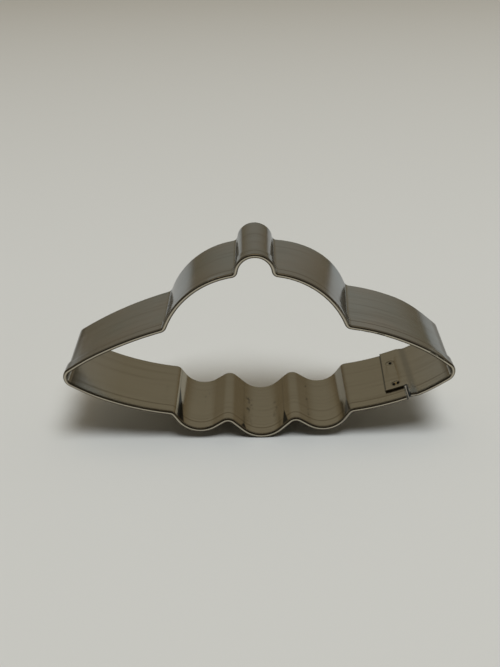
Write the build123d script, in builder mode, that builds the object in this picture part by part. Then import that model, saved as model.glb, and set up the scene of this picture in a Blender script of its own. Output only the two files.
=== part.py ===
# Cookie cutter in the outline of a flying saucer, bent from one strip of thin stainless steel.
# It stands on its lobes as in use on a shelf: X across, Y from the rolled rim to the cutting edge, Z up.
# Millimetres. The origin is under the middle of the cutter, on the surface it stands on.
import os
from math import asin, cos, sin
from build123d import *

# The strip
sheet = 0.4             # thickness of the steel
strip_depth = 25.0      # from the front of the rolled rim to the cutting edge
hem_hollow = 0.3        # space left inside the folded rim
hem_width = 4.8         # how far the folded flap reaches back along the outside
hem_end_gap = 0.1       # the flap closes in to this far off the sheet at its end

# The outline of the strip's inner face, up to the sharp corners that the bends round off.
# Reaches are measured sideways from the middle, heights and drops from the line through the tips.
tip_reach = 51.0
shoulder_reach = 22.6   # where brim and dome meet
shoulder_height = 12.7
neck_reach = 4.1        # where dome and knob meet
neck_height = 27.1
knob_height = 32.0
step_reach = 23.05      # where the lower wall turns down into the side lobe
step_drop = 10.5
side_lobe_reach = 17.9
side_lobe_drop = 18.1
cusp_reach = 8.65       # the points between the lobes
cusp_drop = 12.2
middle_lobe_drop = 20.2
crown_shift = -0.5      # the hand-bent dome and knob sit a little left of the tips' middle
base_shift = 0.75       # and the lobes a little right of it

# Curves between the corners
left_brim_radius = 100.0
right_brim_radius = 60.0
dome_radius = 21.6
wall_radius = 70.0

# Bends
tip_bend = 1.8
shoulder_bend = 2.1
neck_bend = 1.7
step_bend = 2.0
side_lobe_bend = 6.5
middle_lobe_bend = 6.8
cusp_bend = 2.6

# The lap joint on the lower right wall, where the strip's two ends are welded together
seam_inset = 12.7       # from the tip's corner to the end of the outer layer's rim
seam_gap = 0.5          # from there to the rim of the inner end
lap_length = 4.9        # how far the inner end runs on over the outer end
lap_gap = 0.15          # air between the two layers
notch_depth = 5.0       # the hem is cut away from the inner end over the lap, back to here
jog_length = 1.9        # the inner end steps inwards to the lap over this length
jog_bend = 3.0

# The spot welds
weld_inset = 1.9        # from the end of the outer layer's rim to the welds' middle
weld_radius = 1.1
weld_dish = 0.06        # the electrodes leave each weld this far below the sheet's face
rear_weld_depth = 18.5  # from the front of the rim
front_weld_depth = 7.2
pit_radius = 0.35       # small burnt pits in the face of a weld
pit_depth = 0.3
pit_spacing = 1.15      # the front weld has two pits, side by side

rim_thickness = 2 * sheet + hem_hollow
nose_radius = rim_thickness / 2
lap_offset = sheet + lap_gap
lap_thickness = sheet + lap_offset
seam_reach = tip_reach - seam_inset

# Corners, right and left
right_tip = Vector(tip_reach, 0)
left_tip = Vector(-tip_reach, 0)
right_shoulder = Vector(crown_shift + shoulder_reach, shoulder_height)
left_shoulder = Vector(crown_shift - shoulder_reach, shoulder_height)
right_neck = Vector(crown_shift + neck_reach, neck_height)
left_neck = Vector(crown_shift - neck_reach, neck_height)
knob_top = Vector(crown_shift, knob_height)
left_step = Vector(base_shift - step_reach, -step_drop)
left_lobe = Vector(base_shift - side_lobe_reach, -side_lobe_drop)
left_cusp = Vector(base_shift - cusp_reach, -cusp_drop)
middle_lobe = Vector(base_shift, -middle_lobe_drop)
right_cusp = Vector(base_shift + cusp_reach, -cusp_drop)
right_lobe = Vector(base_shift + side_lobe_reach, -side_lobe_drop)

# The right lower wall is a circle's arc, and the outer layer of the lap runs concentric to it
wall_line = RadiusArc(right_tip, (base_shift + step_reach, lap_offset - step_drop), wall_radius)
wall_centre = wall_line.arc_center


def on_wall(reach, outwards):
    """Point of the right lower wall at a sideways reach, moved outwards along the wall's normal."""
    angle = asin((reach - wall_centre.X) / wall_radius)
    distance = wall_radius + outwards
    return Vector(wall_centre.X + distance * sin(angle), wall_centre.Y - distance * cos(angle))


tongue_end = on_wall(seam_reach - lap_length, 0)
tongue_root = on_wall(seam_reach + seam_gap, 0)
jog_foot = on_wall(seam_reach + seam_gap + jog_length, lap_offset)
outer_end = on_wall(seam_reach, lap_offset)
right_step = on_wall(base_shift + step_reach, lap_offset)

# The saucer's outline: the strip's inner face along the rim, closed at the seam by a short line
with BuildSketch() as saucer:
    with BuildLine():
        RadiusArc(outer_end, right_step, wall_radius + lap_offset)
        Polyline(right_step, right_lobe, right_cusp, middle_lobe, left_cusp, left_lobe, left_step)
        RadiusArc(left_step, left_tip, wall_radius)
        RadiusArc(left_tip, left_shoulder, left_brim_radius)
        RadiusArc(left_shoulder, left_neck, dome_radius)
        ThreePointArc(left_neck, knob_top, right_neck)
        RadiusArc(right_neck, right_shoulder, dome_radius)
        RadiusArc(right_shoulder, right_tip, right_brim_radius)
        RadiusArc(right_tip, jog_foot, wall_radius)
        Polyline(jog_foot, tongue_root, outer_end)
    make_face()
    bends = (
        (tip_bend, (left_tip, right_tip)),
        (shoulder_bend, (left_shoulder, right_shoulder)),
        (neck_bend, (left_neck, right_neck)),
        (step_bend, (left_step, right_step)),
        (side_lobe_bend, (left_lobe, right_lobe)),
        (middle_lobe_bend, (middle_lobe,)),
        (cusp_bend, (left_cusp, right_cusp)),
        (jog_bend, (jog_foot,)),
    )
    for radius, corners in bends:
        for corner in corners:
            fillet(saucer.vertices().sort_by_distance(corner)[0], radius)

# Stood up: the rim's plane, placed so that the lowest lobe touches the surface and the cutter is centred
span = saucer.sketch.bounding_box()
rim_plane = Plane(
    origin=(-span.center().X, -strip_depth / 2, rim_thickness - span.min.Y),
    x_dir=(1, 0, 0),
    z_dir=(0, -1, 0),
)

# The line that the rim follows, from the outer end once round to the tongue's root
with BuildSketch(rim_plane) as rim_face:
    add(saucer.sketch)
seam_middle = rim_plane.from_local_coords((tongue_root + outer_end) / 2)
with BuildLine() as rim_line:
    add(rim_face.sketch.edges().sort_by_distance(seam_middle)[1:])

# The strip's section: the sheet, the rounded nose of the rim, and the flap that closes in outside it
outer_end_place = rim_plane.from_local_coords(outer_end)
outwards = (outer_end_place - rim_plane.from_local_coords(wall_centre)).normalized()
section_plane = Plane(outer_end_place, x_dir=outwards, z_dir=outwards.cross(Vector(0, 1, 0)))
with BuildSketch(section_plane) as section:
    with Locations((nose_radius, nose_radius)):
        Circle(nose_radius)
        Circle(hem_hollow / 2, mode=Mode.SUBTRACT)
    with BuildLine():
        Polyline(
            (sheet, nose_radius),
            (rim_thickness - sheet, nose_radius),
            (sheet + hem_end_gap, hem_width),
            (sheet, hem_width),
            close=True,
        )
    make_face(mode=Mode.SUBTRACT)
    with Locations((0, nose_radius)):
        Rectangle(sheet, strip_depth - nose_radius, align=(Align.MIN, Align.MIN))
    with BuildLine():
        Polyline(
            (rim_thickness - sheet, nose_radius),
            (rim_thickness, nose_radius),
            (2 * sheet + hem_end_gap, hem_width),
            (sheet + hem_end_gap, hem_width),
            close=True,
        )
    make_face()

# The places of the spot welds, on the inner face of the lap
weld_face = rim_plane.from_local_coords(on_wall(seam_reach - weld_inset, 0))
weld_outwards = (weld_face - rim_plane.from_local_coords(wall_centre)).normalized()

# The tongue starts square to the jog, where the rim of the inner end stops
jog_direction = (tongue_root - jog_foot).normalized()
root_corner = tongue_root + Vector(-jog_direction.Y, jog_direction.X) * sheet


def weld_plane(depth, sunk):
    """Plane on the lap's inner face at a depth behind the rim, facing inwards, moved outwards by sunk."""
    place = weld_face + Vector(0, depth, 0) + weld_outwards * sunk
    return Plane(place, x_dir=(0, 1, 0), z_dir=-weld_outwards)


with BuildPart() as cutter_strip:
    sweep(sections=section.sketch, path=rim_line.wire())
    with BuildSketch(rim_plane.offset(-notch_depth)) as tongue:
        with BuildLine():
            RadiusArc(tongue_root, tongue_end, wall_radius)
            Line(tongue_end, on_wall(tongue_end.X, sheet))
            RadiusArc(root_corner, on_wall(tongue_end.X, sheet), wall_radius + sheet)
            Line(root_corner, tongue_root)
        make_face()
    extrude(amount=-(strip_depth - notch_depth))
    for depth in (front_weld_depth, rear_weld_depth):
        with BuildSketch(weld_plane(depth, -weld_dish)):
            Circle(weld_radius)
        extrude(amount=-(lap_thickness + 2 * weld_dish), mode=Mode.SUBTRACT)
cutter_strip.part.label = "cutter_strip"

with BuildPart() as rear_spot_weld:
    with BuildSketch(weld_plane(rear_weld_depth, weld_dish)):
        Circle(weld_radius)
    extrude(amount=-(lap_thickness - 2 * weld_dish))
    with BuildSketch(weld_plane(rear_weld_depth, weld_dish)):
        Circle(pit_radius)
    extrude(amount=-pit_depth, mode=Mode.SUBTRACT)
rear_spot_weld.part.label = "rear_spot_weld"

with BuildPart() as front_spot_weld:
    with BuildSketch(weld_plane(front_weld_depth, weld_dish)):
        Circle(weld_radius)
    extrude(amount=-(lap_thickness - 2 * weld_dish))
    with BuildSketch(weld_plane(front_weld_depth, weld_dish)):
        with GridLocations(0, pit_spacing, 1, 2):
            Circle(pit_radius)
    extrude(amount=-pit_depth, mode=Mode.SUBTRACT)
front_spot_weld.part.label = "front_spot_weld"

os.makedirs("parts", exist_ok=True)
export_step(cutter_strip.part, "parts/cutter_strip.step")
export_step(rear_spot_weld.part, "parts/rear_spot_weld.step")
export_step(front_spot_weld.part, "parts/front_spot_weld.step")
print("overall size", cutter_strip.part.bounding_box().size)
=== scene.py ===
from math import hypot, radians, sqrt

import bpy
import bmesh
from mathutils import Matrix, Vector


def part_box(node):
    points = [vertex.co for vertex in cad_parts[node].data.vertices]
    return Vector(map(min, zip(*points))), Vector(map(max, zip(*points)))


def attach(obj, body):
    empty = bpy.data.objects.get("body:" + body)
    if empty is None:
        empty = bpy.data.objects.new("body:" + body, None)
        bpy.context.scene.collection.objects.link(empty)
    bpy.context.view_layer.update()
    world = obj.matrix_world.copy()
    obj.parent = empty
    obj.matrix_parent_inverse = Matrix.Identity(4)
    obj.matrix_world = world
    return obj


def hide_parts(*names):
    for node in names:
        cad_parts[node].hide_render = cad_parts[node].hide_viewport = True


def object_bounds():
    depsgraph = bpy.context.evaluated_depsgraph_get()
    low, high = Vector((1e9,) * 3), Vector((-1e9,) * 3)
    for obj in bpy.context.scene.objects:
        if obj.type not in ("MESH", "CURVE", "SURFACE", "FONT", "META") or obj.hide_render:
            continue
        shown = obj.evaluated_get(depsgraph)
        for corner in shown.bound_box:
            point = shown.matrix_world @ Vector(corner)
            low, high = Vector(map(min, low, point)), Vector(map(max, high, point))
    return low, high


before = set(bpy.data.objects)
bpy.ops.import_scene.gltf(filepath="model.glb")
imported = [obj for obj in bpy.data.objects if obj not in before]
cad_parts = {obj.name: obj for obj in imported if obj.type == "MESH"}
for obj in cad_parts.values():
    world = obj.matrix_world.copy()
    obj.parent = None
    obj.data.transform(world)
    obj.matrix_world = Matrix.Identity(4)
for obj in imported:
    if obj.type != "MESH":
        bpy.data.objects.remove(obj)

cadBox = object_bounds()     # the CAD model's box
scene = bpy.context.scene


# shader helpers: a socket that can be added and multiplied, and one maker for every other node

class Value:
    def __init__(self, tree, socket):
        self.tree = tree
        self.socket = socket

    def math(self, operation, other=None, swapped=False):
        node = self.tree.nodes.new("ShaderNodeMath")
        node.operation = operation
        first, second = (other, self) if swapped else (self, other)
        for index, item in enumerate((first, second)):
            if isinstance(item, Value):
                self.tree.links.new(item.socket, node.inputs[index])
            elif item is not None:
                node.inputs[index].default_value = item
        return Value(self.tree, node.outputs[0])

    def __add__(self, other):
        return self.math("ADD", other)

    def __radd__(self, other):
        return self.math("ADD", other)

    def __sub__(self, other):
        return self.math("SUBTRACT", other)

    def __rsub__(self, other):
        return self.math("SUBTRACT", other, swapped=True)

    def __mul__(self, other):
        return self.math("MULTIPLY", other)

    def __rmul__(self, other):
        return self.math("MULTIPLY", other)

    def __truediv__(self, other):
        return self.math("DIVIDE", other)

    def clamped(self):
        node = self.tree.nodes.new("ShaderNodeClamp")
        self.tree.links.new(self.socket, node.inputs["Value"])
        return Value(self.tree, node.outputs[0])

    def absolute(self):
        return self.math("ABSOLUTE")

    def smallest(self, other):
        return self.math("MINIMUM", other)

    # 0 below the edge, and 1 past it by the blend
    def rising(self, edge, blend):
        return ((self - edge) / blend).clamped()

    # 0 above the edge, and 1 below it by the blend
    def falling(self, edge, blend):
        return ((edge - self) / blend).clamped()

    # 1 at the centre and 0 from the half width on
    def line(self, centre, halfWidth):
        return 1.0 - ((self - centre).absolute() / halfWidth).smallest(1.0)

    # 1 up to half the width away from the centre, and 0 from one and a half widths on
    def stripe(self, centre, width):
        return (1.5 - (self - centre).absolute() / width).clamped()


class Shader:
    def __init__(self, owner):
        owner.use_nodes = True
        self.tree = owner.node_tree
        self.tree.nodes.clear()

    def node(self, kind, settings=None, inputs=None):
        made = self.tree.nodes.new(kind)
        for name, setting in (settings or {}).items():
            setattr(made, name, setting)
        for name, item in (inputs or {}).items():
            self.feed(made.inputs[name], item)
        return made

    def feed(self, socket, item):
        if isinstance(item, Value):
            self.tree.links.new(item.socket, socket)
        elif isinstance(item, bpy.types.NodeSocket):
            self.tree.links.new(item, socket)
        elif isinstance(item, tuple) and len(item) == 3 and socket.type == "RGBA":
            socket.default_value = (*item, 1.0)
        else:
            socket.default_value = item

    def value(self, socket):
        return Value(self.tree, socket)

    def mixColour(self, factor, first, second):
        made = self.node("ShaderNodeMix", {"data_type": "RGBA"})
        self.feed(made.inputs[0], factor)
        self.feed(made.inputs[6], first)
        self.feed(made.inputs[7], second)
        return made.outputs[2]

    def axes(self):
        place = self.node("ShaderNodeTexCoord").outputs["Object"]
        split = self.node("ShaderNodeSeparateXYZ", inputs={0: place})
        return place, [self.value(out) for out in split.outputs]

    def scaled(self, vector, scale):
        return self.node("ShaderNodeMapping", inputs={"Vector": vector, "Scale": scale}).outputs[0]

    def distance(self, place, point):
        made = self.node("ShaderNodeVectorMath", {"operation": "DISTANCE"})
        self.feed(made.inputs[0], place)
        made.inputs[1].default_value = point
        return self.value(made.outputs["Value"])

    def noise(self, vector, scale, detail, roughness, stretch=None):
        if stretch:
            vector = self.scaled(vector, stretch)
        made = self.node("ShaderNodeTexNoise", inputs={
            "Vector": vector, "Scale": scale, "Detail": detail, "Roughness": roughness})
        return self.value(made.outputs["Fac"])


# the camera, at the photograph's viewing angle

cameraSet = {
    "focalPixels": 900.0,            # focal length in pixels of the 500 x 667 frame
    "frameHeight": 667.0,
    "sensorHeight": 24.0,
    "clip": (0.01, 20.0),
    "place": (-0.00033, -0.2135, 0.13064),
    "pitchDown": 26.4,
    "roll": 1.0,
}


def makeCamera(facts):
    lens = bpy.data.cameras.new("camera")
    lens.sensor_fit = "VERTICAL"
    lens.sensor_height = facts["sensorHeight"]
    lens.lens = facts["focalPixels"] * facts["sensorHeight"] / facts["frameHeight"]
    lens.clip_start, lens.clip_end = facts["clip"]
    camera = bpy.data.objects.new("camera", lens)
    camera.location = facts["place"]
    camera.rotation_euler = (radians(90.0 - facts["pitchDown"]), radians(facts["roll"]), 0.0)
    scene.collection.objects.link(camera)
    scene.camera = camera


makeCamera(cameraSet)
print("stage: camera")


# places on the lap that the steel, the welds and the bent strip share, in metres

def middleOf(node):
    low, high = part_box(node)
    return (Vector(low) + Vector(high)) / 2


rearWeld = middleOf("rear_spot_weld")
frontWeld = middleOf("front_spot_weld")
rimFront = cadBox[0][1]
notchDepth = 0.005        # the lap's tongue starts this far behind the rim
lapEnd = 0.0334           # sideways place of the tongue's end
lapDepth = 0.020          # the tongue's length along y
lapSlant = 0.00095        # its end is cut askew by this much


# the steel; a noise is its scale, detail, roughness and stretch

steelSet = {
    "coolBlotch": (0.525, 0.580, 0.620),
    "warmBlotch": (0.575, 0.575, 0.585),    # patches where the sheet looks a little warmer
    "blotchNoise": (60.0, 3.0, 0.6),
    "blotchContrast": 2.6,
    "edgeTint": (0.61, 0.61, 0.61),         # how much the steel still mirrors at a glancing angle
    "lowerTint": (0.415, 0.380, 0.300),       # an olive tint on the lower part
    "tintHeights": (0.012, 0.024),
    "lineNoise": (220.0, 5.0, 0.7, (0.12, 4.0, 0.12)),      # rolling lines along the strip
    "lineContrast": 4.0,
    "lineShare": 0.32,
    "rimDarkReflection": (0.15, 0.13, 0.09),        # the folded rim is painted dark as a painted reflection of the dark room, with a painted highlight along its crest
    "rimFade": (0.00096, 0.0006),
    "rimShare": 0.9,
    "rimDepth": 0.0006,
    "crestHighlight": (0.50, 0.455, 0.37),
    "highlightFade": (0.0000375, 0.000025),
    "underRimShade": (0.11, 0.092, 0.062),       # painted shade on the side of the rim that faces down
    "shadeFacing": (-0.06, 0.286),
    "underShadeFade": (0.00108, 0.0006),
    "underShadeShare": 0.9,
    "bandColour": (0.17, 0.13, 0.08),       # a brown line along both faces, a little behind the rim
    "bandBehindRim": 0.0033,
    "bandHalfWidth": 0.0003,
    "bandNoise": (45.0, 2.0, 0.5),
    "bandWander": 0.0007,
    "bandShare": 0.75,
    "lowerHalf": (0.019, 0.001),            # dents, the painted shade in the bends, and cuts are below this only
    # near black, for the dents and for painted shade
    "darkMarksAndShade": (0.03, 0.034, 0.036),
    "toolMarks": (                          # x, first and last y, and half width of the rows of dents
        (-0.0249, -0.0070, 0.0010, 0.00022),
        (-0.0149, -0.0110, 0.0075, 0.00010),
        (-0.0139, -0.0110, 0.0075, 0.00008),
        (-0.0028, -0.0090, 0.0060, 0.00110),
        (0.0044, -0.0080, 0.0030, 0.00080),
        (0.0131, -0.0090, 0.0090, 0.00030),
    ),
    "dentNoise": (1100.0, 2.0, 0.6, (1.3, 0.8, 0.2)),
    "dentLevel": (0.53, 0.1667),
    "markContrast": 1.6,
    "markEnds": 0.00111,
    "markShare": 0.85,
    "bendDarkWedges": (                          # painted dark reflection in the bends: x at the rim, x at the far end, last y, half width at the rim
        (-0.0207, -0.0217, 0.0030, 0.00085),
        (0.0230, 0.0232, -0.0050, 0.00085),
        (0.0068, 0.0066, -0.0050, 0.00075),
        (-0.0042, -0.0042, -0.0098, 0.00090),
    ),
    "wedgeBlend": 0.0001667,
    "wedgeShare": 0.92,
    "bendShadeStrips": (                          # x and width of the right step's bend and of the lap's jog, darkened as painted shade
        (0.0226, 0.0012),
        (0.0402, 0.0008),
    ),
    "bendShadeColour": (0.22, 0.21, 0.185),
    "bendShadeShare": 0.45,
    "tipFrom": (0.0476, 0.000833),          # the sheet at the tips is darker, but not its rim
    "tipBlend": 0.0005,
    "tipColour": (0.20, 0.18, 0.14),
    "tipShare": 0.6,
    "endHalfWidth": 0.00022,                # the shadow line at the tongue's end
    "endBlend": 0.000333,
    "endShare": 0.85,
    "cutX": 0.03855,                        # the hem's cut ends beside the notch
    "cutWidth": 0.0004,
    "cutBlend": 0.000111,
    "cutShare": 0.9,
    "hollowX": 0.0389,                      # the open end of the rim's hollow
    "hollowWidth": 0.0003,
    "hollowFade": (0.0015, 0.0010),
    "burnColour": (0.20, 0.155, 0.09),      # a thin burnt ring round each spot weld
    "ringRadius": 0.0012,
    "ringHalfWidth": 0.0003,
    "ringShare": 0.55,
    "roughness": 0.13,
    "polishNoise": (300.0, 4.0, 0.6, (1.0, 26.0, 1.0)),
    "polishRoughness": 0.08,
    "blotchRoughness": 0.05,
    "cutRoughness": 0.6,
    "cutDullness": 0.9,
    "waveNoise": (70.0, 2.0, 0.5, (1.0, 0.5, 1.0)),
    "lineHeight": 0.10,
    "bumpStrength": 0.25,
    "bumpDistance": 0.0003,
}


def makeSteel(facts):
    material = bpy.data.materials.new("rolledSteel")
    s = Shader(material)
    place, (x, y, z) = s.axes()
    behind = y - rimFront

    # the sheet: soft blotches, an olive tint low down, and rolling lines along the strip
    blotch = ((s.noise(place, *facts["blotchNoise"]) - 0.5) * facts["blotchContrast"] + 0.5).clamped()
    colour = s.mixColour(blotch, facts["coolBlotch"], facts["warmBlotch"])
    low, high = facts["tintHeights"]
    colour = s.mixColour(z.falling(high, high - low), colour, facts["lowerTint"])
    lines = s.noise(place, *facts["lineNoise"])
    lineShade = ((lines - 0.5) * facts["lineContrast"]).clamped() * facts["lineShare"]
    colour = s.mixColour(lineShade, colour, facts["bandColour"])

    # the rim's painted dark reflection, the painted highlight on its crest, painted shade on its underside,
    # and the brown line behind it
    colour = s.mixColour(behind.falling(*facts["rimFade"]) * facts["rimShare"], colour, facts["rimDarkReflection"])
    colour = s.mixColour(behind.falling(*facts["highlightFade"]), colour, facts["crestHighlight"])
    # painted shade: faces near the rim that point down are darkened
    facing = s.node("ShaderNodeTexCoord").outputs["Normal"]
    upwards = s.value(s.node("ShaderNodeSeparateXYZ", inputs={0: facing}).outputs["Z"])
    underShade = upwards.falling(*facts["shadeFacing"]) * behind.falling(*facts["underShadeFade"])
    colour = s.mixColour(underShade * facts["underShadeShare"], colour, facts["underRimShade"])
    wander = (s.noise(place, *facts["bandNoise"]) - 0.5) * facts["bandWander"]
    band = (behind + wander).line(facts["bandBehindRim"], facts["bandHalfWidth"])
    colour = s.mixColour(band * facts["bandShare"], colour, facts["bandColour"])

    # rows of short dark dents across the lower walls
    lowerHalf = z.falling(*facts["lowerHalf"])
    dents = s.noise(place, *facts["dentNoise"]).rising(*facts["dentLevel"])
    marks = 0.0
    for markX, firstY, lastY, halfWidth in facts["toolMarks"]:
        across = ((1.0 - (x - markX).absolute() / halfWidth) * facts["markContrast"]).clamped()
        along = y.rising(firstY, facts["markEnds"]) * y.falling(lastY, facts["markEnds"])
        marks = across * along * dents + marks
    colour = s.mixColour((marks * lowerHalf).clamped() * facts["markShare"], colour, facts["darkMarksAndShade"])

    # painted dark reflection: the tight bends are darkened near the rim, in a wedge that narrows towards the
    # cutting edge
    for rimX, farX, lastY, halfWidth in facts["bendDarkWedges"]:
        share = (behind / (lastY - rimFront)).clamped()
        away = (x - rimX - share * (farX - rimX)).absolute()
        wedge = (((1.0 - share) * halfWidth - away) / facts["wedgeBlend"] + 0.5).clamped()
        wedge = wedge * behind.rising(facts["rimDepth"], facts["wedgeBlend"]) * lowerHalf
        colour = s.mixColour(wedge * facts["wedgeShare"], colour, facts["darkMarksAndShade"])

    # painted shade darkens the right step's bend and the jog; the tips are darker too
    for bendX, bendWidth in facts["bendShadeStrips"]:
        bend = x.stripe(bendX, bendWidth) * lowerHalf
        colour = s.mixColour(bend * facts["bendShadeShare"], colour, facts["bendShadeColour"])
    tip = x.absolute().rising(*facts["tipFrom"]) * behind.rising(facts["rimDepth"], facts["tipBlend"])
    colour = s.mixColour(tip * facts["tipShare"], colour, facts["tipColour"])

    # the tongue's end stands in its own shadow line, which slants as the tongue is cut
    slant = ((behind - notchDepth) / lapDepth).clamped() * lapSlant
    shade = (x - slant).line(lapEnd, facts["endHalfWidth"]) * lowerHalf
    shade = shade * behind.rising(notchDepth, facts["endBlend"])
    colour = s.mixColour(shade * facts["endShare"], colour, facts["darkMarksAndShade"])

    # the hem's cut ends: painted shade on the edge down to the notch, which is also rougher and less
    # metallic, and painted shade in the hollow inside the rim
    cut = x.stripe(facts["cutX"], facts["cutWidth"]) * lowerHalf
    cut = cut * behind.falling(notchDepth + facts["cutBlend"], facts["cutBlend"])
    colour = s.mixColour(cut * facts["cutShare"], colour, facts["darkMarksAndShade"])
    hollow = x.stripe(facts["hollowX"], facts["hollowWidth"]) * lowerHalf
    hollow = hollow * behind.falling(*facts["hollowFade"])
    colour = s.mixColour(hollow, colour, facts["darkMarksAndShade"])

    for weld in (rearWeld, frontWeld):
        ring = s.distance(place, weld).line(facts["ringRadius"], facts["ringHalfWidth"])
        colour = s.mixColour(ring * facts["ringShare"], colour, facts["burnColour"])

    polish = (s.noise(place, *facts["polishNoise"]) - 0.5) * facts["polishRoughness"]
    roughness = facts["roughness"] + polish + facts["blotchRoughness"] * blotch + facts["cutRoughness"] * cut
    waves = s.noise(place, *facts["waveNoise"]) + lines * facts["lineHeight"]
    bump = s.node("ShaderNodeBump", inputs={
        "Height": waves, "Strength": facts["bumpStrength"], "Distance": facts["bumpDistance"]})
    bsdf = s.node("ShaderNodeBsdfPrincipled", inputs={
        "Base Color": colour, "Metallic": 1.0 - facts["cutDullness"] * cut, "Roughness": roughness,
        "Normal": bump.outputs[0]})
    s.feed(bsdf.inputs["Specular Tint"], facts["edgeTint"])
    s.node("ShaderNodeOutputMaterial", inputs={"Surface": bsdf.outputs[0]})
    return material


weldSet = {
    "colour": (0.40, 0.37, 0.29),
    "sootColour": (0.05, 0.035, 0.02),
    "sootNoise": (1500.0, 3.0, 0.6),
    "sootContrast": 4.0,
    "sootLevel": 0.35,
    "sootShare": 0.2,
    "strawColour": (0.50, 0.32, 0.06),      # heat tint between the two pits of the front weld
    "strawEdge": (0.0008, 0.00025),
    "strawShare": 0.7,
    "pitColour": (0.008, 0.007, 0.006),
    "pitEdge": (0.00050, 0.0000833),
    "pitStretch": (1.0, 0.6, 1.0),          # the black reaches further along the strip's depth
    "pitLift": 0.0003,                      # the pits lie this far above the middle of a nugget
    "pitForward": 0.0002,
    "pitSpread": 0.00055,                   # from the front weld's middle to either of its pits
    "wallSlope": 0.35,                      # rise of the lap's wall for each step sideways
    "metallic": 0.9,
    "roughness": 0.18,
    "sootRoughness": 0.2,
    "bumpStrength": 0.4,
    "bumpDistance": 0.0001,
}


def makeWeldMetal(facts):
    material = bpy.data.materials.new("weldMetal")
    s = Shader(material)
    place = s.axes()[0]
    soot = (s.noise(place, *facts["sootNoise"]) - 0.5) * facts["sootContrast"]
    soot = (soot + facts["sootLevel"]).clamped()
    colour = s.mixColour(soot * facts["sootShare"], facts["colour"], facts["sootColour"])
    straw = s.distance(place, frontWeld).falling(*facts["strawEdge"])
    colour = s.mixColour(straw * facts["strawShare"], colour, facts["strawColour"])

    # the pits are black, fading out a little past them
    stretched = s.scaled(place, facts["pitStretch"])
    spread = facts["pitSpread"]
    pits = 0.0
    for weld, offset in ((rearWeld, 0.0), (frontWeld, -spread), (frontWeld, spread)):
        lift = facts["pitLift"] + facts["wallSlope"] * offset
        spot = Vector((weld.x + offset, weld.y - facts["pitForward"], weld.z + lift))
        pits = s.distance(stretched, spot * Vector(facts["pitStretch"])).falling(*facts["pitEdge"]) + pits
    colour = s.mixColour(pits.clamped(), colour, facts["pitColour"])

    bump = s.node("ShaderNodeBump", inputs={
        "Height": soot, "Strength": facts["bumpStrength"], "Distance": facts["bumpDistance"]})
    bsdf = s.node("ShaderNodeBsdfPrincipled", inputs={
        "Base Color": colour, "Metallic": facts["metallic"],
        "Roughness": facts["roughness"] + facts["sootRoughness"] * soot, "Normal": bump.outputs[0]})
    s.node("ShaderNodeOutputMaterial", inputs={"Surface": bsdf.outputs[0]})
    return material


# the strip as hand-bent: its bends are not quite square to the rim

bendSet = {
    "depth": 0.025,
    "mergeDistance": 0.000001,
    "shoulderShift": (0.0017, 0.0009),      # sideways and up, at the back of the right shoulder
    "shoulderX": 0.021,
    "brimLift": 0.0012,                     # the right brim's back edge stands this much higher
    "brimSlack": 0.6,                       # share of the sideways shift that is gone at the tip
    "upperRange": (0.0195, 0.028),          # only what is above the tips' line moves
    "tipStart": 0.042,
    "tipReach": 0.0507,
    "tipShift": 0.0005,                     # the tips are drawn in this much at the rim
    "wallCentre": (0.0137129, 0.0781800),   # x and z of the centre that the lap's wall curves round
    "wallRadius": 0.070,
    "tongueFaces": (-0.0001, 0.00047),      # outwards from the wall's radius, with a little to spare
    "tongueStart": 0.0330,
    "weldEdge": 0.0351,                     # the tongue's skew fades out before the welds
    "sharpAngle": 30.0,
}


def ramp(value, low, high):
    share = min(max((value - low) / (high - low), 0.0), 1.0)
    return share * share * (3.0 - 2.0 * share)


def makeHandBentStrip(facts):
    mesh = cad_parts["cutter_strip"].data.copy()
    bm = bmesh.new()
    bm.from_mesh(mesh)
    bmesh.ops.remove_doubles(bm, verts=bm.verts, dist=facts["mergeDistance"])
    shiftX, shiftZ = facts["shoulderShift"]
    centreX, centreZ = facts["wallCentre"]
    innerFace, outerFace = facts["tongueFaces"]
    for vert in bm.verts:
        x, y, z = vert.co
        back = (y - rimFront) / facts["depth"]

        # the right shoulder and brim lean, more towards their back edge
        upper = ramp(z, *facts["upperRange"])
        inwards = ramp(x, 0.0, facts["shoulderX"])
        outwards = ramp(x, facts["shoulderX"], facts["tipReach"])
        sideways = shiftX * inwards * (1.0 - facts["brimSlack"] * outwards)
        lift = shiftZ * inwards + (facts["brimLift"] - shiftZ) * outwards
        vert.co.x += back * upper * sideways
        vert.co.z += back * upper * lift

        tip = ramp(abs(x), facts["tipStart"], facts["tipReach"])
        side = 1.0 if x > 0 else -1.0
        vert.co.x -= side * tip * (1.0 - back) * facts["tipShift"]

        # the tongue's end, slid along the wall's curve
        distance = hypot(x - centreX, z - centreZ)
        inTongue = innerFace < distance - facts["wallRadius"] < outerFace and z < centreZ
        if inTongue and facts["tongueStart"] < x < facts["weldEdge"]:
            share = (facts["weldEdge"] - x) / (facts["weldEdge"] - lapEnd)
            depthShare = (y - rimFront - notchDepth) / lapDepth
            vert.co.x += lapSlant * share * depthShare
            vert.co.z = centreZ - sqrt(distance * distance - (vert.co.x - centreX) ** 2)
    bm.to_mesh(mesh)
    bm.free()
    mesh.shade_smooth()
    mesh.set_sharp_from_angle(angle=radians(facts["sharpAngle"]))
    strip = bpy.data.objects.new("handBentStrip", mesh)
    scene.collection.objects.link(strip)
    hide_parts("cutter_strip")
    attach(strip, "root")


steel = makeSteel(steelSet)
weldMetal = makeWeldMetal(weldSet)
for name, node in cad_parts.items():
    node.data.materials.clear()
    node.data.materials.append(steel if name == "cutter_strip" else weldMetal)
makeHandBentStrip(bendSet)
print("stage: steel")


# floor, world and lamps

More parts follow.
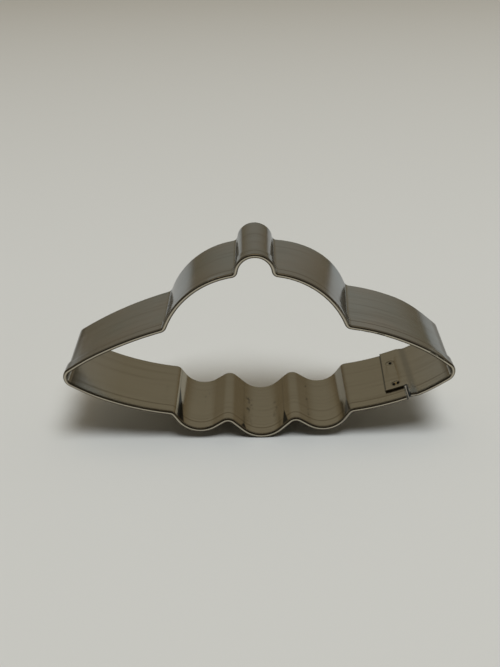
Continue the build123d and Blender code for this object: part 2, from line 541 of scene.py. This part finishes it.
stageSet = {
    "size": 6.0,
    "colour": (0.64, 0.64, 0.63),
    # darker towards the back and sides: a painted falloff of the light
    "backColour": (0.52, 0.50, 0.46),
    "backRange": (0.10, 1.0),            # where it starts, and how long it takes
    "farColour": (0.30, 0.29, 0.27),
    "sideRange": (0.42, 0.5),            # the floor is pale this far to each side, and falls off past it
    "roughness": 0.9,
    "gloss": 0.1,
}


def makeFloor(facts):
    mesh = bpy.data.meshes.new("floor")
    bm = bmesh.new()
    bmesh.ops.create_grid(bm, x_segments=1, y_segments=1, size=facts["size"] / 2)
    bm.to_mesh(mesh)
    bm.free()
    floor = bpy.data.objects.new("floor", mesh)
    scene.collection.objects.link(floor)
    material = bpy.data.materials.new("floorCard")
    s = Shader(material)
    x, y, z = s.axes()[1]
    # painted shade: the floor darkens towards the back and past each side
    colour = s.mixColour(y.rising(*facts["backRange"]), facts["colour"], facts["backColour"])
    colour = s.mixColour(x.absolute().rising(*facts["sideRange"]), colour, facts["farColour"])
    bsdf = s.node("ShaderNodeBsdfPrincipled", inputs={
        "Base Color": colour, "Roughness": facts["roughness"], "Specular IOR Level": facts["gloss"]})
    s.node("ShaderNodeOutputMaterial", inputs={"Surface": bsdf.outputs[0]})
    mesh.materials.append(material)


# a range is where a colour starts and how long it blends, in the direction's upward or forward part
worldSet = {
    "low": (0.21, 0.165, 0.098),         # near the horizon, away from the camera
    "middle": (0.30, 0.276, 0.222),
    "middleRange": (0.0, 0.45),
    "top": (1.20, 1.00, 0.70),           # the bright ceiling straight above
    "topRange": (0.86, 0.10),
    "dark": (0.070, 0.064, 0.052),       # the unlit room on the camera's side
    "darkRange": (0.12, 0.35),
    "horizon": (0.42, 0.41, 0.38),       # with a pale band low down
    "horizonRange": (0.14, 0.04),
}


def makeWorld(facts):
    world = bpy.data.worlds.new("studio")
    scene.world = world
    s = Shader(world)
    direction = s.node("ShaderNodeTexCoord").outputs["Generated"]
    split = s.node("ShaderNodeSeparateXYZ", inputs={0: direction})
    ahead = s.value(split.outputs["Y"])
    up = s.value(split.outputs["Z"])
    colour = s.mixColour(up.rising(*facts["middleRange"]), facts["low"], facts["middle"])
    colour = s.mixColour(up.rising(*facts["topRange"]), colour, facts["top"])
    cameraSide = ahead.falling(*facts["darkRange"])
    colour = s.mixColour(cameraSide, colour, facts["dark"])
    colour = s.mixColour(cameraSide * up.falling(*facts["horizonRange"]), colour, facts["horizon"])
    background = s.node("ShaderNodeBackground", inputs={"Color": colour})
    s.node("ShaderNodeOutputWorld", inputs={"Surface": background.outputs[0]})


lampSet = {
    "place": (0.45, -0.75, 3.0),
    "aim": (0.0, 0.0, 0.02),
    "width": 1.5,
    "power": 69.0,
    "colour": (0.94, 0.985, 1.0),
}


def makeLamp(facts):
    light = bpy.data.lights.new("key", "AREA")
    light.shape = "SQUARE"
    light.size = facts["width"]
    light.energy = facts["power"]
    light.color = facts["colour"]
    lamp = bpy.data.objects.new("key", light)
    lamp.location = facts["place"]
    aim = Vector(facts["aim"]) - lamp.location
    lamp.rotation_euler = aim.to_track_quat("-Z", "Y").to_euler()
    lamp.visible_glossy = False          # the steel mirrors the room, not the lamp
    scene.collection.objects.link(lamp)


makeFloor(stageSet)
makeWorld(worldSet)
makeLamp(lampSet)
scene.view_settings.view_transform = "Standard"
print("stage: floor, world and lamp")
